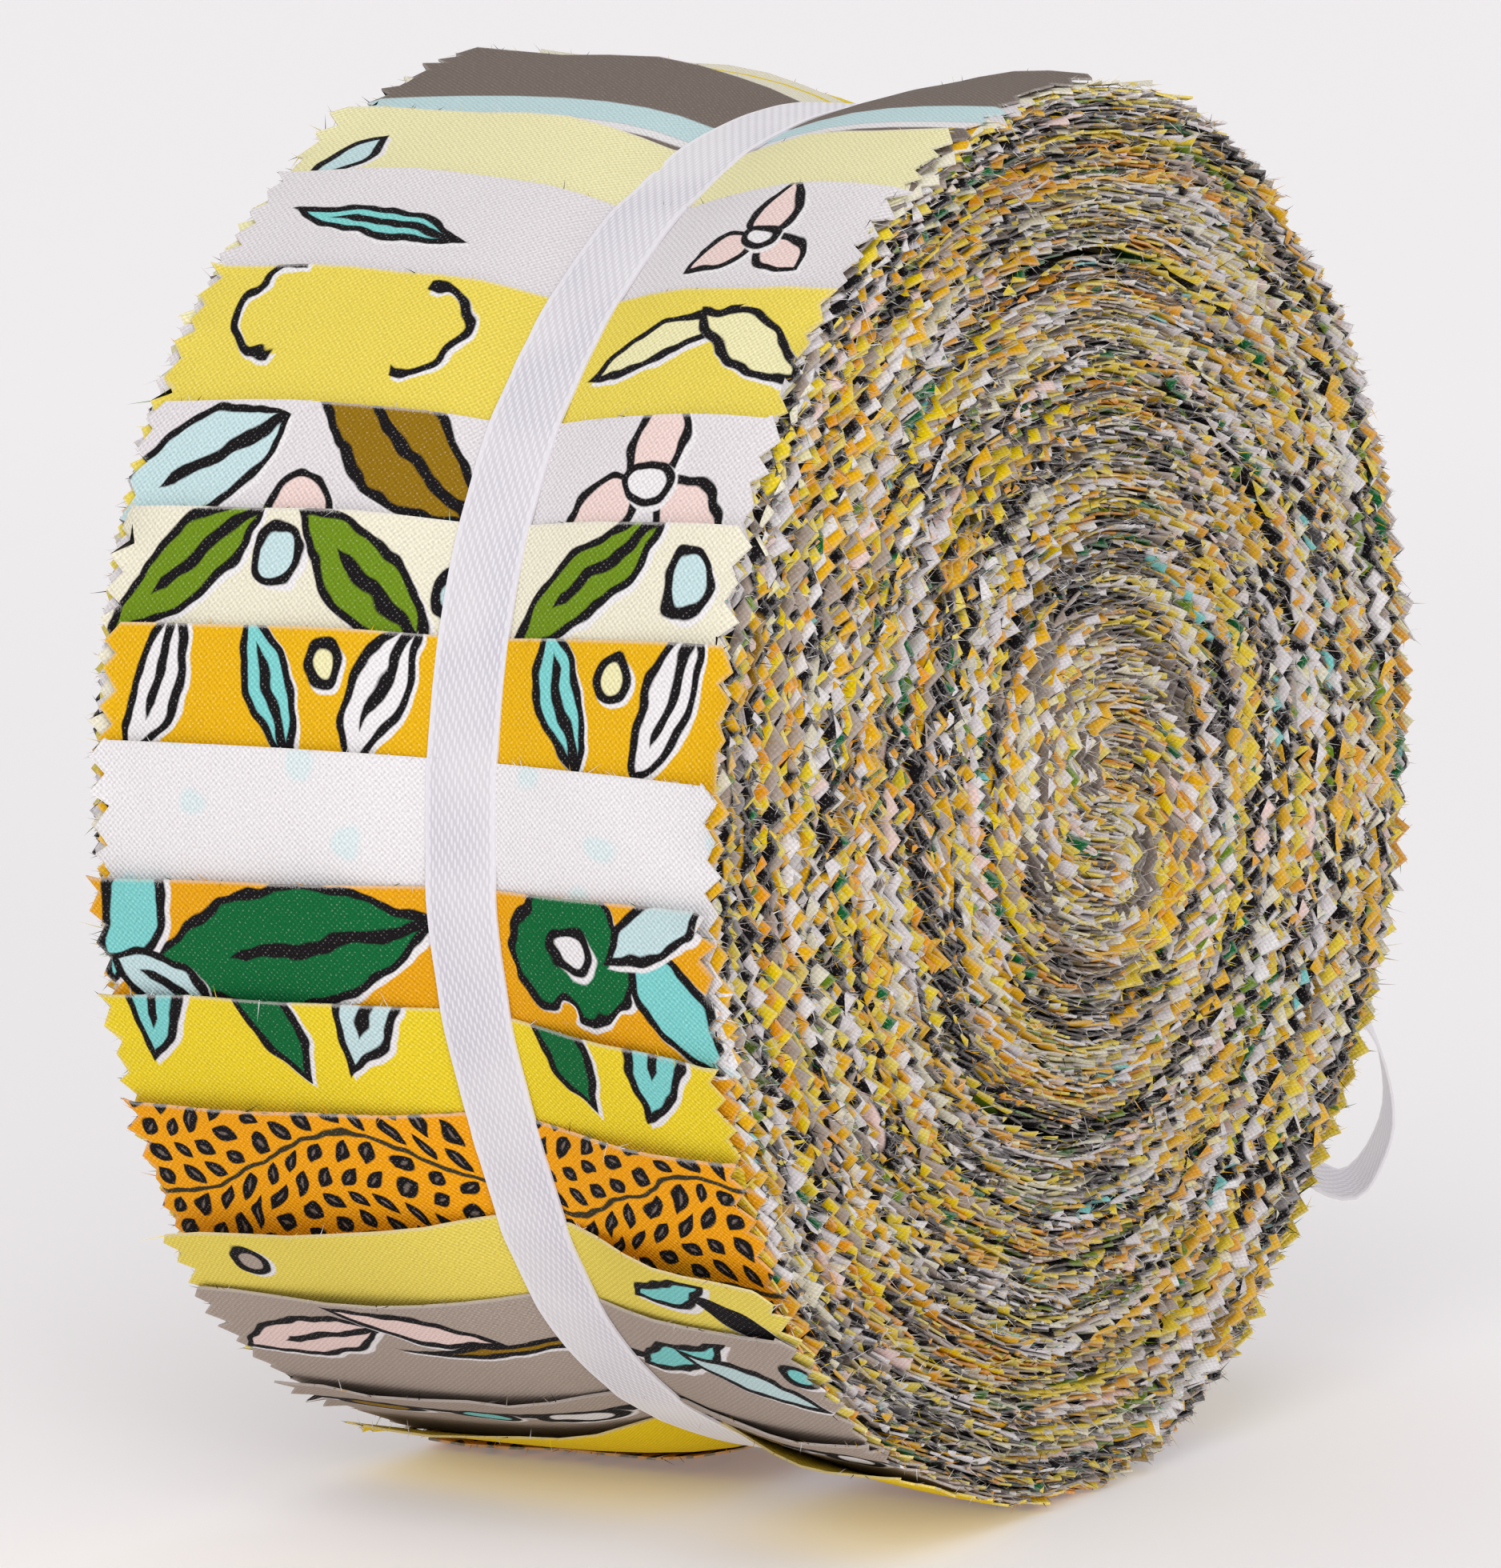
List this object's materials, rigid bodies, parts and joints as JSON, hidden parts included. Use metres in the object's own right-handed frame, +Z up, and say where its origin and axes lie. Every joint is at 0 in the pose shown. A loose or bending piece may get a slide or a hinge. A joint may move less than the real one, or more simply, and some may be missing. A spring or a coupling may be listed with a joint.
{
  "type": "jelly roll fabric strips",
  "caption": "Wound roll of printed cotton strips with pinked edges, standing on its edge, tied round the waist with a white satin ribbon and a small bow.",
  "frame": {"origin": "middle of the underside of the whole box, on the surface that the roll stands on", "axes": "+Y along the roll's axis, away from the face with the clearer winding; +Z up; the strip ends that show are on the -X side and the bow is on the +X side"},
  "size_m": [0.1398, 0.0636, 0.1283],
  "materials": {
    "cotton": "matt printed plain-weave cotton in yellow, orange, grey, taupe and white, with pinked cut edges",
    "satin": "white satin ribbon with a soft sheen and woven edges"
  },
  "bodies": {
    "root": {"fabric_roll": "cotton", "ribbon_band": "satin", "ribbon_knot": "satin", "ribbon_loop_near": "satin", "ribbon_loop_far": "satin", "ribbon_tail_near": "satin", "ribbon_tail_far": "satin"}
  },
  "joints": []
}
